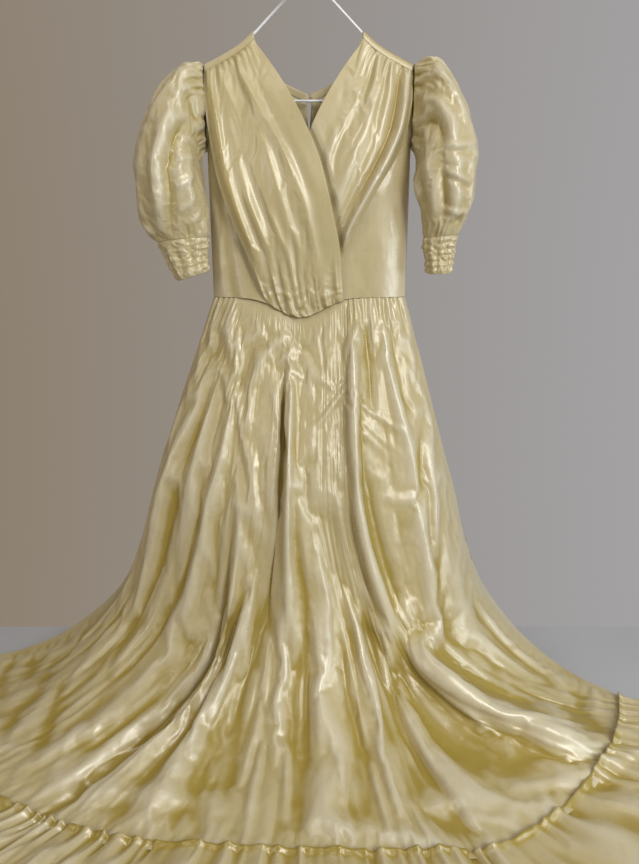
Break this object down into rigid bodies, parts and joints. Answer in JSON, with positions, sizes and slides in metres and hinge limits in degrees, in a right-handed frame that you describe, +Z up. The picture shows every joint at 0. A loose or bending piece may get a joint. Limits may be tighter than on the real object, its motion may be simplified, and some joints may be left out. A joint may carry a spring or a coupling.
{
  "type": "wedding dress on a hanger",
  "caption": "Long satin wedding gown with a draped surplice bodice, puffed sleeves and a ruffled skirt fanned over the floor, hung on a wire hanger.",
  "frame": {"origin": "inside top of the hanger's hook, where a rail or peg holds it", "axes": "+Z up, +X along the hanger towards the wearer's left sleeve, -Y out of the gown's front"},
  "size_m": [1.5115, 0.7025, 1.273],
  "materials": {
    "satin": "aged cream satin, shiny side out",
    "satin_shade": "aged cream satin, away from the light",
    "coated_wire": "white plastic coating on wire",
    "hook_metal": "small dress hook"
  },
  "bodies": {
    "root": {"hanger": "coated_wire", "front_over": "satin", "front_under": "satin", "side_front_left": "satin", "side_front_right": "satin", "shoulder_yoke_left": "satin", "shoulder_yoke_right": "satin", "bodice_back_left": "satin_shade", "bodice_back_right": "satin_shade", "back_neck_band_left": "satin", "back_neck_band_right": "satin", "neck_hook": "hook_metal", "sleeve_left": "satin", "sleeve_right": "satin", "cuff_left": "satin", "cuff_right": "satin", "skirt_side_left": "satin", "skirt_front_left": "satin", "skirt_front_middle": "satin", "skirt_front_right": "satin", "skirt_side_right": "satin", "skirt_back_left": "satin_shade", "skirt_back_right": "satin_shade", "ruffle_front": "satin", "ruffle_back": "satin_shade"}
  },
  "joints": []
}
